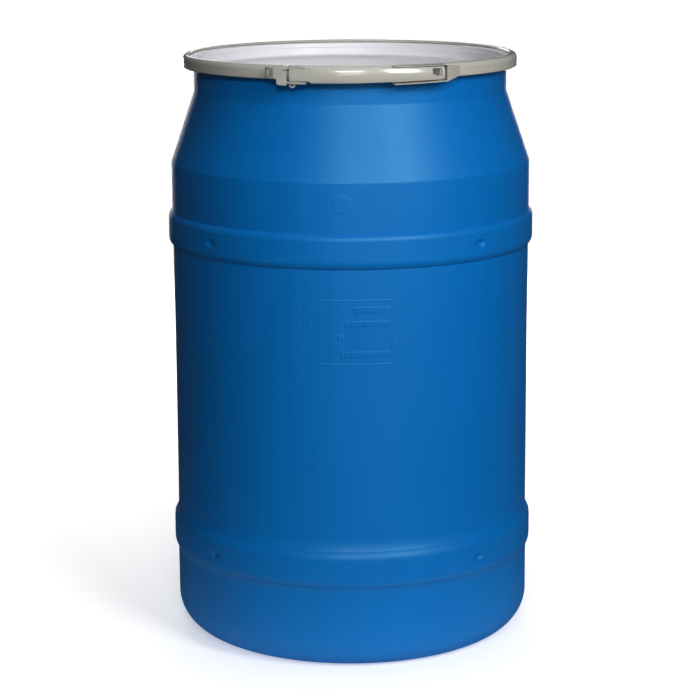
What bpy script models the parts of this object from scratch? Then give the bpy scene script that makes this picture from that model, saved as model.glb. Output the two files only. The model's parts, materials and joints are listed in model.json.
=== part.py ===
"""Open-head plastic drum with a dished lid and a steel lever-lock ring.

Metres, +Z up. The origin is the middle of the base, on the floor, and the latch faces -Y.
Azimuths are degrees about the drum's axis, counted from -Y towards +X.
"""
import math

import bmesh
import bpy
from mathutils import Matrix, Vector

# Drum body
SEGMENTS = 64
HOOP_RADIUS = 0.2920
LOWER_WALL_RADIUS = 0.2866
MIDDLE_WALL_RADIUS = 0.2854
UPPER_WALL_RADIUS = 0.2860
NECK_RADIUS = 0.2481
BEAD_RADIUS = 0.2600
SHELL = 0.0035
CORNER_RADIUS = 0.0565
FOOT_RADIUS = 0.170
BASE_RISE = 0.006
# Foot of the lower flank, both edges of the flat band, head of the upper flank
LOWER_HOOP = (0.1370, 0.1502, 0.1814, 0.1971)
UPPER_HOOP = (0.6344, 0.6470, 0.6780, 0.6886)
SHOULDER_Z = 0.7653
NECK_Z = 0.8765
BEAD_Z = (0.9173, 0.9240)
DIMPLE_RADIUS = 0.0070
DIMPLE_DEPTH = 0.0022
DIMPLE_AZIMUTH = 42.6

# Lid and gasket
LID_FLOOR_Z = 0.9120
LID_STEP_Z = 0.9245
LID_TOP_Z = 0.9322
LID_RADIUS = 0.2626
PLUG_RADIUS = NECK_RADIUS - SHELL - 0.0010
GROOVE_Z = 0.9275
CLEARANCE = 0.0003

# Ring band
BAND_RADIUS = 0.2662
BAND_SHEET = 0.0015
BAND_BOTTOM_Z = 0.9155
ROLL_RADIUS = 0.0080
ROLL_Z = 0.9285
ROLL_END_DEG = 140
SPLIT = (-23.2, -20.4)

# Latch: heights are counted from the latch's mid plane
LATCH_Z = 0.9237
PLATE_RADII = (BAND_RADIUS + CLEARANCE, BAND_RADIUS + 0.0019)
RIVET_Z = 0.9230
SHEET = 0.0015
ROOT_HALF = 0.0090
ARM_INNER = ROOT_HALF + CLEARANCE
ARM_OUTER = ARM_INNER + SHEET
EAR_INNER = ARM_OUTER + CLEARANCE
EAR_OUTER = EAR_INNER + 0.0017
LEVER_RADIUS = 0.2835
LEVER_EDGE = 0.0030
FLANGE_RADIUS = 0.2725
LEVER_ROOT = -18.4
LEVER_STEP = (-12.4, -11.8)
LEVER_TIP = 29.9
WINDOW = (25.7, 28.9)
WINDOW_HEIGHTS = (0.9203, 0.9314)
FULCRUM = (-18.1, 0.2735)
TOGGLE = (-13.9, 0.2727)
PIN_RADIUS = 0.0030
TOGGLE_RADIUS = 0.0025
EYE_RADIUS = 0.0054
EYE_HALF = 0.0013
EYE_BORE = 0.0014
ANCHOR_PLATE = (-27.4, -23.4)
FULCRUM_PLATE = (-19.3, -15.6)
ANCHOR_RIVETS = (-25.25, -23.95)
FULCRUM_RIVETS = (-18.5, -16.5)
GUARD_RIVETS = (16.5, 23.5)
RIVET_RADIUS = 0.0016
RIVET_HEAD = 0.0029
GUARD = (13.4, 37.8)
GUARD_FOLD = 30.6
GUARD_RADIUS = 0.2840
SEAL_EYE = (27.4, 27.75)
SEAL_EYE_TIP = 0.2895
SEAL_HOLE_RADIUS = 0.0014
TONGUE = (-23.7, -19.4)
TONGUE_BOTTOM_Z = 0.9087
TAB = (-24.0, -22.65)
TAB_TOP_Z = 0.9178
NOTCH = (-21.6, -19.0)
NOTCH_HEIGHTS = (0.9308, 0.9331)
CLAW_WINDOW = (-26.4, -24.0)
LUG_AZIMUTH = -26.25
LUG_LEAN = -17.0
LUG_LENGTH = 0.0128
LUG_HALF = 0.0010
LUG_HEIGHTS = (0.9214, 0.9306)


def material(name, color, roughness, metallic=0.0):
    """A Principled material of one colour."""
    made = bpy.data.materials.new(name)
    made.use_nodes = True
    shader = made.node_tree.nodes["Principled BSDF"]
    shader.inputs["Base Color"].default_value = (*color, 1.0)
    shader.inputs["Roughness"].default_value = roughness
    shader.inputs["Metallic"].default_value = metallic
    return made


def add_object(name, mesh_edit, finish, sharp_deg=30):
    """Turn a bmesh into a named object with smooth shading up to the sharp angle."""
    bmesh.ops.remove_doubles(mesh_edit, verts=mesh_edit.verts, dist=1e-6)
    bmesh.ops.recalc_face_normals(mesh_edit, faces=mesh_edit.faces)
    mesh = bpy.data.meshes.new(name)
    mesh_edit.to_mesh(mesh)
    mesh_edit.free()
    mesh.shade_smooth()
    mesh.set_sharp_from_angle(angle=math.radians(sharp_deg))
    made = bpy.data.objects.new(name, mesh)
    made.data.materials.append(finish)
    bpy.context.scene.collection.objects.link(made)
    return made


def hide_tool(tool):
    """Mark a cutter or a body that is joined to another one as a construction aid."""
    tool.hide_render = True
    tool.display_type = "WIRE"
    return tool


def combine(target, tools, operation):
    """Apply a list of construction solids to the target, one Boolean each."""
    for tool in tools:
        hide_tool(tool)
        modifier = target.modifiers.new(operation.lower(), "BOOLEAN")
        modifier.operation = operation
        modifier.solver = "EXACT"
        modifier.object = tool
    return target


def polar(azimuth, radius, z=0.0):
    """The point at an azimuth in degrees and a radius from the drum's axis."""
    angle = math.radians(azimuth)
    return Vector((radius * math.sin(angle), -radius * math.cos(angle), z))


def arc(centre, radius, start_deg, end_deg, steps):
    """Points along a circular arc in a plane, both ends included."""
    angles = [math.radians(start_deg + (end_deg - start_deg) * i / steps) for i in range(steps + 1)]
    return [(centre[0] + radius * math.cos(a), centre[1] + radius * math.sin(a)) for a in angles]


def turned(name, profile, finish, steps=SEGMENTS, closed=False):
    """Spin a profile of (radius, z) points round the Z axis."""
    edit = bmesh.new()
    verts = [edit.verts.new((0.0, -radius, z)) for radius, z in profile]
    pairs = list(zip(verts, verts[1:]))
    if closed:
        pairs.append((verts[-1], verts[0]))
    edges = [edit.edges.new(pair) for pair in pairs]
    bmesh.ops.spin(edit, geom=verts + edges, cent=(0, 0, 0), axis=(0, 0, 1),
                   angle=math.tau, steps=steps, use_merge=True)
    return add_object(name, edit, finish)


def plan_plate(name, outline, low, high, finish):
    """A flat plate from an outline of (x, y) points, between two heights."""
    edit = bmesh.new()
    face = edit.faces.new([edit.verts.new((x, y, low)) for x, y in outline])
    lifted = bmesh.ops.extrude_face_region(edit, geom=[face])["geom"]
    top = [item for item in lifted if isinstance(item, bmesh.types.BMVert)]
    bmesh.ops.translate(edit, verts=top, vec=(0, 0, high - low))
    return add_object(name, edit, finish)


def polar_plate(name, outline, low, high, finish):
    """A flat plate from an outline of (azimuth, radius) points."""
    return plan_plate(name, [polar(*point).xy for point in outline], low, high, finish)


def swept(name, start, end, section, finish, step=2.0):
    """Loft a closed section of (radius, z) points, a function of azimuth, round the drum."""
    count = max(1, math.ceil(abs(end - start) / step))
    stops = [start + (end - start) * i / count for i in range(count + 1)]
    return lofted(name, stops, section, finish)


def lofted(name, stops, section, finish):
    """Join the section's loops at the given azimuths and close both ends."""
    edit = bmesh.new()
    loops = [[edit.verts.new(polar(stop, radius, z)) for radius, z in section(stop)] for stop in stops]
    for near, far in zip(loops, loops[1:]):
        for i in range(len(near)):
            j = (i + 1) % len(near)
            edit.faces.new((near[i], near[j], far[j], far[i]))
    edit.faces.new(loops[0])
    edit.faces.new(loops[-1])
    return add_object(name, edit, finish)


def rectangle(radii, heights):
    """A section that is the same rectangle at every azimuth."""
    corners = [(radii[0], heights[0]), (radii[1], heights[0]), (radii[1], heights[1]), (radii[0], heights[1])]
    return lambda azimuth: corners


def upright_cutter(name, place, radius, finish, low=0.90, high=0.95, steps=16):
    """A vertical round cutter at a polar place."""
    edit = bmesh.new()
    middle = polar(*place, (low + high) / 2)
    bmesh.ops.create_cone(edit, cap_ends=True, segments=steps, radius1=radius, radius2=radius,
                          depth=high - low, matrix=Matrix.Translation(middle))
    return add_object(name, edit, finish)


def radial_turned(name, profile, azimuth, z, finish, steps=12):
    """Spin a profile of (radius, distance) points round a line that leaves the drum's axis."""
    made = turned(name, profile, finish, steps)
    tilt = Matrix.Rotation(math.radians(azimuth), 4, "Z") @ Matrix.Rotation(math.radians(90), 4, "X")
    made.matrix_world = Matrix.Translation((0, 0, z)) @ tilt
    return made


def ramp(value, start, end, low, high):
    """A straight run from low to high while value goes from start to end."""
    share = min(1.0, max(0.0, (value - start) / (end - start)))
    return low + (high - low) * share


# Drum body, lid and gasket

def flank(base, edge_z, foot_z, steps=3):
    """Points of a hoop's rounded flank, from its foot on the wall to the edge of the flat band."""
    rise = abs(edge_z - foot_z)
    drop = HOOP_RADIUS - base
    radius = (rise ** 2 + drop ** 2) / (2 * drop)
    sweep = math.degrees(math.asin(rise / radius))
    sweep = -sweep if foot_z < edge_z else sweep
    return arc((HOOP_RADIUS - radius, edge_z), radius, sweep, 0, steps)


def outer_hoop(limits, below, above):
    """A rolling hoop on the outer skin, going up, between two wall radii."""
    foot, low, high, head = limits
    return flank(below, low, foot) + flank(above, high, head)[::-1]


def inner_hoop(limits, below, above):
    """The same hoop on the inner skin, going down, with straight flanks."""
    foot, low, high, head = limits
    crest = HOOP_RADIUS - SHELL
    return [(above - SHELL, head), (crest, high - 0.001), (crest, low + 0.001), (below - SHELL, foot)]


def body_profile():
    """The shell's profile, from the middle of the base outside to the middle inside."""
    corner = (LOWER_WALL_RADIUS - CORNER_RADIUS, CORNER_RADIUS)
    outer = [(0, BASE_RISE), (FOOT_RADIUS - 0.012, BASE_RISE), (FOOT_RADIUS, 0)]
    outer += arc(corner, CORNER_RADIUS, -90, 0, 6)
    outer += outer_hoop(LOWER_HOOP, LOWER_WALL_RADIUS, MIDDLE_WALL_RADIUS)
    outer += outer_hoop(UPPER_HOOP, MIDDLE_WALL_RADIUS, UPPER_WALL_RADIUS)
    outer += [(UPPER_WALL_RADIUS, SHOULDER_Z - 0.004), (UPPER_WALL_RADIUS - 0.0012, SHOULDER_Z + 0.003)]
    outer += [(NECK_RADIUS + 0.0007, NECK_Z - 0.003), (NECK_RADIUS, NECK_Z + 0.003)]
    low, high = BEAD_Z
    outer += [(NECK_RADIUS, low), (BEAD_RADIUS - 0.001, low), (BEAD_RADIUS, low + 0.001)]
    outer += [(BEAD_RADIUS, high - 0.001), (BEAD_RADIUS - 0.001, high)]
    mouth = NECK_RADIUS - SHELL
    inner = [(UPPER_WALL_RADIUS - SHELL, SHOULDER_Z - 0.002)]
    inner += inner_hoop(UPPER_HOOP, MIDDLE_WALL_RADIUS, UPPER_WALL_RADIUS)
    inner += inner_hoop(LOWER_HOOP, LOWER_WALL_RADIUS, MIDDLE_WALL_RADIUS)
    inner += arc(corner, CORNER_RADIUS - SHELL, 0, -90, 6)
    inner += [(FOOT_RADIUS, SHELL), (FOOT_RADIUS - 0.012, BASE_RISE + SHELL), (0, BASE_RISE + SHELL)]
    return outer + [(mouth + 0.001, high), (mouth, high - 0.001), (mouth, NECK_Z + 0.001)] + inner


def drum_body(finish):
    """Blow-moulded shell with its moulded dimples, one ring of four on each hoop."""
    body = turned("drum_body", body_profile(), finish)
    floor = HOOP_RADIUS - DIMPLE_DEPTH
    profile = [(0, floor), (DIMPLE_RADIUS * 0.7, floor), (DIMPLE_RADIUS, HOOP_RADIUS + 0.004),
               (0, HOOP_RADIUS + 0.004)]
    tools = []
    for label, limits in (("lower", LOWER_HOOP), ("upper", UPPER_HOOP)):
        middle = (limits[1] + limits[2]) / 2
        for quarter in range(4):
            azimuth = DIMPLE_AZIMUTH + 90 * quarter
            tools.append(radial_turned(f"dimple_{label}_{quarter}", profile, azimuth, middle, finish))
    return combine(body, tools, "DIFFERENCE")


def lid(finish):
    """Dished lid: floor, stepped wall, rim, and the skirt that covers the bead."""
    top = [(0, LID_FLOOR_Z), (0.2345, LID_FLOOR_Z), (0.2370, LID_FLOOR_Z + 0.0020)]
    top += [(0.2382, LID_STEP_Z - 0.0005), (0.2402, LID_STEP_Z), (0.2410, LID_TOP_Z - 0.0020)]
    top += [(0.2428, LID_TOP_Z), (LID_RADIUS - 0.0020, LID_TOP_Z), (LID_RADIUS, LID_TOP_Z - 0.0020)]
    skirt = [(LID_RADIUS, 0.9195), (BEAD_RADIUS + 0.0006, 0.9195), (BEAD_RADIUS + 0.0006, GROOVE_Z)]
    plug = [(PLUG_RADIUS, GROOVE_Z), (PLUG_RADIUS, 0.9235), (PLUG_RADIUS - 0.0022, 0.9215)]
    plug += [(PLUG_RADIUS - 0.0024, 0.9105), (PLUG_RADIUS - 0.0044, LID_FLOOR_Z - SHELL)]
    return turned("lid", top + skirt + plug + [(0, LID_FLOOR_Z - SHELL)], finish)


def lid_gasket(finish):
    """Flat ring in the lid's groove, pressed on the bead."""
    low = BEAD_Z[1] + CLEARANCE
    high = GROOVE_Z - CLEARANCE
    profile = [(0.2480, low), (0.2590, low), (0.2590, high), (0.2480, high)]
    return turned("lid_gasket", profile, finish, closed=True)


# Ring band and its rivets

def rivet_hole(azimuth, finish):
    """Round cutter for a rivet through a bracket and the band."""
    radius = RIVET_RADIUS + CLEARANCE
    profile = [(0, BAND_RADIUS - 0.006), (radius, BAND_RADIUS - 0.006), (radius, BAND_RADIUS + 0.006),
               (0, BAND_RADIUS + 0.006)]
    return radial_turned(f"hole_{azimuth}", profile, azimuth, RIVET_Z, finish)


def rivet(name, azimuth, finish):
    """Rivet with a flat head inside the band and a low domed head on the bracket."""
    inside = BAND_RADIUS - BAND_SHEET - 2 * CLEARANCE
    outside = PLATE_RADII[1] + CLEARANCE
    head = RIVET_HEAD
    profile = [(0, inside - 0.0009), (head, inside - 0.0009), (head, inside), (RIVET_RADIUS, inside),
               (RIVET_RADIUS, outside), (head, outside), (head, outside + 0.0004),
               (head * 0.6, outside + 0.0011), (0, outside + 0.0013)]
    return radial_turned(name, profile, azimuth, RIVET_Z, finish)


def ring_band(finish):
    """Split channel band: flat lower flange, upright web and a rolled top edge."""
    centre = (BAND_RADIUS - ROLL_RADIUS, ROLL_Z)
    lip = 0.2515
    outer = [(lip, BAND_BOTTOM_Z), (BAND_RADIUS - 0.0018, BAND_BOTTOM_Z)]
    outer += [(BAND_RADIUS - 0.0005, BAND_BOTTOM_Z + 0.0005), (BAND_RADIUS, BAND_BOTTOM_Z + 0.0018)]
    outer += arc(centre, ROLL_RADIUS, 0, ROLL_END_DEG, 7)
    inner = arc(centre, ROLL_RADIUS - BAND_SHEET, ROLL_END_DEG, 0, 7)
    inner.append((BAND_RADIUS - BAND_SHEET, BAND_BOTTOM_Z + 0.0018))
    inner.append((BAND_RADIUS - 0.0020, BAND_BOTTOM_Z + 0.0015))
    inner += [(lip, BAND_BOTTOM_Z + 0.0015)]
    band = turned("lock_ring_band", outer + inner, finish, closed=True)
    split = [(SPLIT[0], 0.24), (SPLIT[0], 0.28), (SPLIT[1], 0.28), (SPLIT[1], 0.24)]
    tools = [polar_plate("split", split, 0.90, 0.95, finish)]
    tools += [rivet_hole(azimuth, finish) for azimuth in ANCHOR_RIVETS + FULCRUM_RIVETS + GUARD_RIVETS]
    return combine(band, tools, "DIFFERENCE")


# Latch

def anchor_bracket(finish):
    """Plate on the band's left end with the upright lug that the claw link hooks over."""
    heights = (0.9170, 0.9300)
    plate = swept("anchor_bracket", *ANCHOR_PLATE, rectangle(PLATE_RADII, heights), finish)
    foot = polar(LUG_AZIMUTH, BAND_RADIUS + 0.0010).xy
    lean = polar(LUG_LEAN, LUG_LENGTH).xy
    side = polar(LUG_LEAN + 90, LUG_HALF).xy
    outline = [foot - side, foot + lean - side, foot + lean + side, foot + side]
    lug = plan_plate("anchor_lug", outline, *LUG_HEIGHTS, finish)
    combine(plate, [lug], "UNION")
    return combine(plate, [rivet_hole(azimuth, finish) for azimuth in ANCHOR_RIVETS], "DIFFERENCE")


def fulcrum_bracket(finish):
    """Upright plate on the band's right end with two ears that carry the fulcrum pin."""
    heights = (LATCH_Z - EAR_OUTER, LATCH_Z + EAR_OUTER)
    plate = swept("fulcrum_bracket", *FULCRUM_PLATE, rectangle(PLATE_RADII, heights), finish)
    inner = PLATE_RADII[0] + 0.0005
    outer = LEVER_RADIUS - 0.0010
    ear = [(-19.2, inner), (-19.7, 0.2720), (-19.7, 0.2770), (-19.15, 0.2805), (-19.0, outer)]
    ear += [(-19.0 + 5.2 * i / 4, outer) for i in range(1, 5)] + [(-13.4, outer - 0.002), (-13.4, 0.2790)]
    ear += [(-15.6, 0.2745), (-15.7, inner)]
    tools = []
    for label, side in (("lower", -1), ("upper", 1)):
        low, high = sorted((LATCH_Z + side * EAR_INNER, LATCH_Z + side * EAR_OUTER))
        tools.append(polar_plate(f"ear_{label}", ear, low, high, finish))
    combine(plate, tools, "UNION")
    holes = [upright_cutter("ear_bore", FULCRUM, PIN_RADIUS + CLEARANCE, finish)]
    holes += [rivet_hole(azimuth, finish) for azimuth in FULCRUM_RIVETS]
    return combine(plate, holes, "DIFFERENCE")


def fulcrum_pin(finish):
    """Pivot rivet with a low head on the upper ear and a flat eye under the lower one."""
    low = LATCH_Z - EAR_OUTER - CLEARANCE
    high = LATCH_Z + EAR_OUTER + CLEARANCE
    profile = [(0, low - 0.0012), (0.0046, low - 0.0012), (0.0046, low), (PIN_RADIUS, low), (PIN_RADIUS, high)]
    profile += [(0.0046, high), (0.0046, high + 0.0004), (0.0034, high + 0.0010), (0, high + 0.0012)]
    pin = turned("fulcrum_pin", profile, finish, 16)
    pin.location = polar(*FULCRUM)
    azimuth, radius = FULCRUM
    middle = low - 0.0012
    near, far = radius - EYE_HALF, radius + EYE_HALF
    plate = [(0, near), (EYE_RADIUS, near), (EYE_RADIUS, far), (0, far)]
    eye = radial_turned("pin_eye", plate, azimuth, middle, finish, 16)
    above = [(azimuth - 3, near - 0.002), (azimuth + 3, near - 0.002), (azimuth + 3, far + 0.002),
             (azimuth - 3, far + 0.002)]
    combine(eye, [polar_plate("pin_eye_top", above, low - 0.0001, high, finish)], "DIFFERENCE")
    combine(pin, [eye], "UNION")
    bore = [(0, near - 0.002), (EYE_BORE, near - 0.002), (EYE_BORE, far + 0.002), (0, far + 0.002)]
    return combine(pin, [radial_turned("pin_eye_bore", bore, azimuth, middle - 0.0022, finish)], "DIFFERENCE")


def toggle_pin(finish):
    """Flush pin through the lever's root and the claw link's arms."""
    profile = [(0, LATCH_Z - ARM_OUTER), (TOGGLE_RADIUS, LATCH_Z - ARM_OUTER)]
    profile += [(TOGGLE_RADIUS, LATCH_Z + ARM_OUTER), (0, LATCH_Z + ARM_OUTER)]
    pin = turned("toggle_pin", profile, finish, 16)
    pin.location = polar(*TOGGLE)
    return pin


def lever_section(azimuth):
    """The lever's channel section: narrow at the root, full height, then tapering to the tip."""
    bottom = ramp(azimuth, *LEVER_STEP, LATCH_Z - ROOT_HALF, 0.9118)
    bottom += ramp(azimuth, 0.0, LEVER_TIP, 0.0, 0.0026)
    top = ramp(azimuth, *LEVER_STEP, LATCH_Z + ROOT_HALF, 0.9357)
    top -= ramp(azimuth, 5.0, LEVER_TIP, 0.0, 0.0022)
    top = min(top, 0.9349) if azimuth > 12.5 else top
    face = LEVER_RADIUS - LEVER_EDGE
    outer = [(FLANGE_RADIUS, bottom)] + arc((face, bottom + LEVER_EDGE), LEVER_EDGE, -90, 0, 3)
    outer += arc((face, top - LEVER_EDGE), LEVER_EDGE, 0, 90, 3) + [(FLANGE_RADIUS, top)]
    inner = [(FLANGE_RADIUS, top - SHEET)] + arc((face, top - LEVER_EDGE), LEVER_EDGE - SHEET, 90, 0, 2)
    inner += arc((face, bottom + LEVER_EDGE), LEVER_EDGE - SHEET, 0, -90, 2)
    return outer + inner + [(FLANGE_RADIUS, bottom + SHEET)]


def offset_points(place, radius, start_deg, end_deg, steps):
    """Plan points on an arc round a polar place, 0 degrees to the right and 90 outward."""
    centre = polar(*place).xy
    right = polar(place[0] + 90, 1.0).xy
    outward = polar(place[0], 1.0).xy
    return [centre + right * a + outward * b for a, b in arc((0, 0), radius, start_deg, end_deg, steps)]


def lever(finish):
    """Curved channel lever with two rounded ears at the root and a window near the tip."""
    stops = [LEVER_ROOT, -15.8, *LEVER_STEP] + [-10 + 2.5 * i for i in range(16)] + [LEVER_TIP]
    body = lofted("lever", stops, lever_section, finish)
    outline = offset_points(FULCRUM, 0.0050, 80, 270, 7) + offset_points(TOGGLE, 0.0042, 270, 360, 3)
    outline += [polar(-13.0, 0.2785).xy, polar(-15.5, 0.2785).xy]
    tools = []
    for label, side in (("lower", -1), ("upper", 1)):
        inside = LATCH_Z + side * (ROOT_HALF - SHEET + 0.0001)
        outside = LATCH_Z + side * (ROOT_HALF - 0.0001)
        tools.append(plan_plate(f"root_{label}", outline, *sorted((inside, outside)), finish))
    combine(body, tools, "UNION")
    window = rectangle((LEVER_RADIUS - 0.0075, LEVER_RADIUS + 0.0065), WINDOW_HEIGHTS)
    holes = [upright_cutter("fulcrum_bore", FULCRUM, PIN_RADIUS + CLEARANCE, finish),
             upright_cutter("toggle_bore", TOGGLE, TOGGLE_RADIUS + CLEARANCE, finish),
             swept("window", *WINDOW, window, finish)]
    return combine(body, holes, "DIFFERENCE")


def claw_link(finish):
    """Folded link: tongue plate, windowed claw on its left, and two arms round the toggle pin."""
    outer = LEVER_RADIUS - 0.0005
    inner = outer - SHEET
    top = LATCH_Z + ARM_OUTER
    tongue = swept("claw_link", *TONGUE, rectangle((inner, outer), (TONGUE_BOTTOM_Z, top)), finish, 1.1)
    claw = [(-23.3, outer), (-25.3, 0.2800), (-27.3, 0.2752), (-27.4, 0.2737), (-25.3, 0.2785), (-23.3, inner)]
    tools = [polar_plate("claw", claw, 0.9180, top - 0.0001, finish)]
    centre = [(-22.6, outer - 0.0008), (-19.5, outer - 0.0008), (-17.5, outer - 0.0008), (-15.5, 0.2812)]
    arm = [polar(*point).xy for point in centre] + offset_points(TOGGLE, 0.0045, 75, -180, 9)
    back = [(-15.6, 0.2765), (-17.0, 0.2778), (-19.2, 0.2778), (-20.5, 0.2760), (-22.6, 0.2760)]
    arm += [polar(*point).xy for point in back]
    for label, side in (("lower", -1), ("upper", 1)):
        heights = sorted((LATCH_Z + side * ARM_INNER, LATCH_Z + side * (ARM_OUTER - 0.00005)))
        tools.append(plan_plate(f"arm_{label}", arm, *heights, finish))
    combine(tongue, tools, "UNION")
    corner = [(-23.5, 0.290), (-21.4, 0.290), (-21.4, 0.279), (-23.5, 0.279)]
    across = (0.279, 0.290)
    holes = [upright_cutter("arm_bore", TOGGLE, TOGGLE_RADIUS + CLEARANCE, finish),
             swept("claw_window", *CLAW_WINDOW, rectangle((0.270, 0.290), WINDOW_HEIGHTS), finish),
             swept("notch", *NOTCH, rectangle(across, NOTCH_HEIGHTS), finish),
             swept("tab_side", *TAB, rectangle(across, (TONGUE_BOTTOM_Z - 0.001, TAB_TOP_Z)), finish),
             chamfer_tool("tongue_corner", corner, finish)]
    return combine(tongue, holes, "DIFFERENCE")


def chamfer_tool(name, outline, finish):
    """Wedge that takes the lower left corner off the tongue plate."""
    edit = bmesh.new()
    near = [polar(azimuth, radius) for azimuth, radius in outline]
    low = [edit.verts.new(point + Vector((0, 0, TONGUE_BOTTOM_Z - 0.0015))) for point in near]
    wide, thin = TONGUE_BOTTOM_Z + 0.0055, TONGUE_BOTTOM_Z - 0.0003
    tops = (wide, thin, thin, wide)
    high = [edit.verts.new(point + Vector((0, 0, top))) for point, top in zip(near, tops)]
    edit.faces.new(low)
    edit.faces.new(high)
    for i in range(4):
        j = (i + 1) % 4
        edit.faces.new((low[i], low[j], high[j], high[i]))
    return add_object(name, edit, finish)


def guard_face(azimuth):
    """Outer radius of the guard: constant along the lever, then falling to the band."""
    return ramp(azimuth, GUARD_FOLD, GUARD[1], GUARD_RADIUS, PLATE_RADII[1] + 0.0006)


def guard_bottom(azimuth):
    """Height of the guard's lower edge, which rises towards its tail."""
    rise = ramp(azimuth, GUARD[0], GUARD_FOLD, 0.9093, 0.9112)
    return rise + ramp(azimuth, GUARD_FOLD, GUARD[1], 0.0, 0.0062)


def guard_top(azimuth):
    """Height of the guard's upper edge, which falls at its tail."""
    return ramp(azimuth, GUARD_FOLD, GUARD[1], 0.9365, 0.9320)


def guard_section(azimuth):
    """The guard's channel, open outward, with its web flat on the band."""
    back, front = PLATE_RADII
    face, bottom, top = guard_face(azimuth), guard_bottom(azimuth), guard_top(azimuth)
    lower = [(back, bottom), (face, bottom), (face, bottom + SHEET), (front, bottom + SHEET)]
    thin = top - 0.0011
    return lower + [(front, thin), (face, thin), (face, top), (back, top)]


def guard_tail(azimuth):
    """The sloping sheet that closes the channel beyond the lever's tip."""
    face = guard_face(azimuth) - 0.0002
    heights = (guard_bottom(azimuth) + 0.0004, guard_top(azimuth) - 0.0004)
    return rectangle((face - 0.0013, face), heights)(azimuth)


def seal_hole(finish):
    """Round cutter that runs round the drum through the seal eye's tip."""
    middle = (SEAL_EYE[0] + SEAL_EYE[1]) / 2
    place = polar(middle, SEAL_EYE_TIP - 2 * SEAL_HOLE_RADIUS, 0.9260)
    turn = Matrix.Rotation(math.radians(middle), 4, "Z") @ Matrix.Rotation(math.radians(90), 4, "Y")
    edit = bmesh.new()
    bmesh.ops.create_cone(edit, cap_ends=True, segments=12, radius1=SEAL_HOLE_RADIUS, radius2=SEAL_HOLE_RADIUS,
                          depth=0.006, matrix=Matrix.Translation(place) @ turn)
    return add_object("seal_hole", edit, finish)


def lever_guard(finish):
    """Channel on the band that the lever's tip folds into, with a sloping tail and a seal eye."""
    stops = [GUARD[0] + (GUARD_FOLD - GUARD[0]) * i / 9 for i in range(10)] + [(GUARD_FOLD + GUARD[1]) / 2, GUARD[1]]
    guard = lofted("lever_guard", stops, guard_section, finish)
    foot = BAND_RADIUS + 0.0010
    eye = [(SEAL_EYE[0], foot), (SEAL_EYE[0], SEAL_EYE_TIP), (SEAL_EYE[1], SEAL_EYE_TIP), (SEAL_EYE[1], foot)]
    tools = [swept("guard_tail", GUARD_FOLD + 0.1, GUARD[1] - 0.15, guard_tail, finish, 1.3),
             polar_plate("seal_eye", eye, 0.9222, 0.9298, finish)]
    combine(guard, tools, "UNION")
    holes = [rivet_hole(azimuth, finish) for azimuth in GUARD_RIVETS]
    return combine(guard, holes + [seal_hole(finish)], "DIFFERENCE")


def hinge_axis(name, place, parent=None):
    """An empty on a hinge's upright axis, with its location in the world's coordinates."""
    made = bpy.data.objects.new(name, None)
    made.location = polar(*place, LATCH_Z)
    bpy.context.scene.collection.objects.link(made)
    if parent:
        hang(made, parent)
    return made


def hang(piece, empty):
    """Parent a piece to a hinge's empty and leave it where it is."""
    piece.parent = empty
    piece.matrix_parent_inverse = Matrix.Translation(-empty.location)


def main():
    for old in list(bpy.data.objects):
        bpy.data.objects.remove(old, do_unlink=True)
    blue = material("blue_plastic", (0.004, 0.130, 0.430), 0.38)
    white = material("white_plastic", (0.72, 0.73, 0.76), 0.30)
    rubber = material("grey_rubber", (0.06, 0.06, 0.06), 0.80)
    paint = material("greige_paint", (0.45, 0.44, 0.39), 0.30)
    zinc = material("zinc_steel", (0.60, 0.60, 0.60), 0.35, 1.0)
    drum_body(blue)
    lid(white)
    lid_gasket(rubber)
    ring_band(paint)
    anchor_bracket(paint)
    fulcrum_bracket(paint)
    lever_guard(paint)
    fulcrum_pin(paint)
    lever_axis = hinge_axis("lever_axis", FULCRUM)
    claw_axis = hinge_axis("claw_axis", TOGGLE, lever_axis)
    hang(lever(paint), lever_axis)
    hang(toggle_pin(zinc), lever_axis)
    hang(claw_link(paint), claw_axis)
    for label, places in (("anchor", ANCHOR_RIVETS), ("fulcrum", FULCRUM_RIVETS), ("guard", GUARD_RIVETS)):
        for number, azimuth in enumerate(places, 1):
            rivet(f"{label}_rivet_{number}", azimuth, zinc)


main()
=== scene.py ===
"""Looks of the open-head drum: detailed meshes, materials, floor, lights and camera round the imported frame.

Metres, in the frame's own coordinates: +Z up, the latch faces -Y. An azimuth is in degrees about the
drum's axis, counted from -Y towards +X.
"""
import json
import math

import bmesh
import bpy
from mathutils import Matrix, Vector


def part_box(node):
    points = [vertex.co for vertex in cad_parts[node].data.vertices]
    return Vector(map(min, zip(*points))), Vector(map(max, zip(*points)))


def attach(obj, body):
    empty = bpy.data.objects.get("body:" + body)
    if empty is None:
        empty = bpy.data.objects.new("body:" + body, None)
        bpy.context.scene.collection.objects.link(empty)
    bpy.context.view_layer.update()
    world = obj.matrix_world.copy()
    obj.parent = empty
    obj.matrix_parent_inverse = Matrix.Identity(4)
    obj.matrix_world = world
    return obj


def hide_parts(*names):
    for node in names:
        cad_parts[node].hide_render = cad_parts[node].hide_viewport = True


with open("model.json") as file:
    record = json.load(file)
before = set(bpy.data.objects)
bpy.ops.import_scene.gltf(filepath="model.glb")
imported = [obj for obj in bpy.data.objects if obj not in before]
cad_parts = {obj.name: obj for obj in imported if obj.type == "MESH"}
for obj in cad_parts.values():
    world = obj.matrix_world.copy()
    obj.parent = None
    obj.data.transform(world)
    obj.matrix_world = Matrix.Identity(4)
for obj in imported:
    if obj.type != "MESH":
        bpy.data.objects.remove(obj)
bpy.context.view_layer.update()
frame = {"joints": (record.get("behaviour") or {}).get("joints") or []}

# Driving sizes, read from the frame
BODY_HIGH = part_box("drum_body")[1]
LID_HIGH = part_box("lid")[1]
BAND_LOW, BAND_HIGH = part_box("lock_ring_band")
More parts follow.
